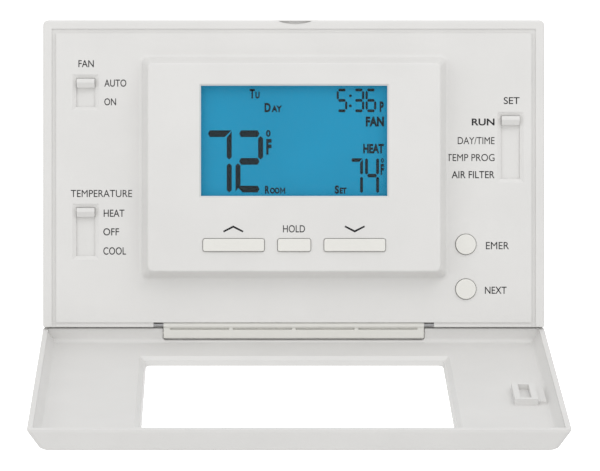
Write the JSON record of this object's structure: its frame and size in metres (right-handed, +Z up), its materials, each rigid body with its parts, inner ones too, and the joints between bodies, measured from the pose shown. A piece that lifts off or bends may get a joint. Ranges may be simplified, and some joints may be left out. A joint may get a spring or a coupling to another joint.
{
  "type": "wall thermostat",
  "caption": "Programmable wall thermostat with a hinged flip-down door open, a raised display bezel, push keys, slide switches, and its board, cells and wall plate inside.",
  "frame": {"origin": "centre of the wall plate's back face, which lies on the wall, on the case's middle lines", "axes": "+Z up, +X to the right of a person who faces the thermostat, -Y out of the wall towards them"},
  "size_m": [0.146, 0.1086, 0.1204],
  "materials": {
    "shell": "fine matte white ABS",
    "cream": "smooth warm white plastic",
    "steel": "drawn steel wire and plated screws",
    "brass": "stamped brass",
    "silicone": "moulded silicone",
    "clear_lens": "clear acrylic",
    "lcd_glass": "blue back-lit liquid crystal cell",
    "light_guide": "clear acrylic block",
    "elastomer": "striped conductive rubber",
    "white_plastic": "plain white ABS",
    "led": "small surface-mounted lamps",
    "board": "green solder resist on glass-fibre board",
    "dark_plastic": "black moulded plastic",
    "can": "drawn metal can",
    "cell": "wrapped battery cell",
    "spring_steel": "nickel-plated spring steel"
  },
  "bodies": {
    "unit": {"front_housing": "shell", "hinge_pin": "steel", "main_keypad": "silicone", "side_keypad": "silicone", "display_lens": "clear_lens", "display_glass": "lcd_glass", "light_guide": "light_guide", "contact_strips": "elastomer", "display_frame": "white_plastic", "backlight_leds": "led", "main_board": "board", "board_screws": "steel", "relays": "dark_plastic", "processor": "dark_plastic", "crystal": "can", "capacitors": "can", "thermistor": "dark_plastic", "pin_header": "dark_plastic", "header_pins": "brass", "rear_chassis": "white_plastic", "chassis_screws": "steel", "battery_upper": "cell", "battery_lower": "cell", "battery_contacts": "spring_steel", "wall_plate": "white_plastic", "terminal_block": "white_plastic", "terminal_screws": "steel", "wire_clamps": "brass"},
    "door": {"door": "shell", "hinge_leaf": "cream"},
    "fan_switch": {"fan_knob": "shell", "fan_wiper": "brass"},
    "mode_switch": {"mode_knob": "shell", "mode_wiper": "brass"},
    "program_switch": {"program_knob": "shell", "program_wiper": "brass"},
    "up_key": {"up_key": "cream"},
    "hold_key": {"hold_key": "cream"},
    "down_key": {"down_key": "cream"},
    "emer_key": {"emer_key": "cream"},
    "next_key": {"next_key": "cream"}
  },
  "joints": [
    {"name": "door_hinge", "type": "hinge", "parent": "unit", "child": "door", "pos_m": [0, -0.0238, -0.0436], "axis": [1, 0, 0], "range_deg": [-106.2, 0]},
    {"name": "fan_slide", "type": "slide", "parent": "unit", "child": "fan_switch", "axis": [0, 0, -1], "range_m": [0, 0.0054]},
    {"name": "mode_slide", "type": "slide", "parent": "unit", "child": "mode_switch", "axis": [0, 0, -1], "range_m": [0, 0.0112]},
    {"name": "program_slide", "type": "slide", "parent": "unit", "child": "program_switch", "axis": [0, 0, -1], "range_m": [0, 0.0155]},
    {"name": "up_key_press", "type": "slide", "parent": "unit", "child": "up_key", "axis": [0, 1, 0], "range_m": [0, 0.0006], "stiffness_N_per_m": 250, "springref_m": -0.001, "deforming": ["main_keypad"]},
    {"name": "hold_key_press", "type": "slide", "parent": "unit", "child": "hold_key", "axis": [0, 1, 0], "range_m": [0, 0.0006], "stiffness_N_per_m": 250, "springref_m": -0.001, "deforming": ["main_keypad"]},
    {"name": "down_key_press", "type": "slide", "parent": "unit", "child": "down_key", "axis": [0, 1, 0], "range_m": [0, 0.0006], "stiffness_N_per_m": 250, "springref_m": -0.001, "deforming": ["main_keypad"]},
    {"name": "emer_key_press", "type": "slide", "parent": "unit", "child": "emer_key", "axis": [0, 1, 0], "range_m": [0, 0.0005], "stiffness_N_per_m": 250, "springref_m": -0.001, "deforming": ["side_keypad"]},
    {"name": "next_key_press", "type": "slide", "parent": "unit", "child": "next_key", "axis": [0, 1, 0], "range_m": [0, 0.0005], "stiffness_N_per_m": 250, "springref_m": -0.001, "deforming": ["side_keypad"]}
  ]
}
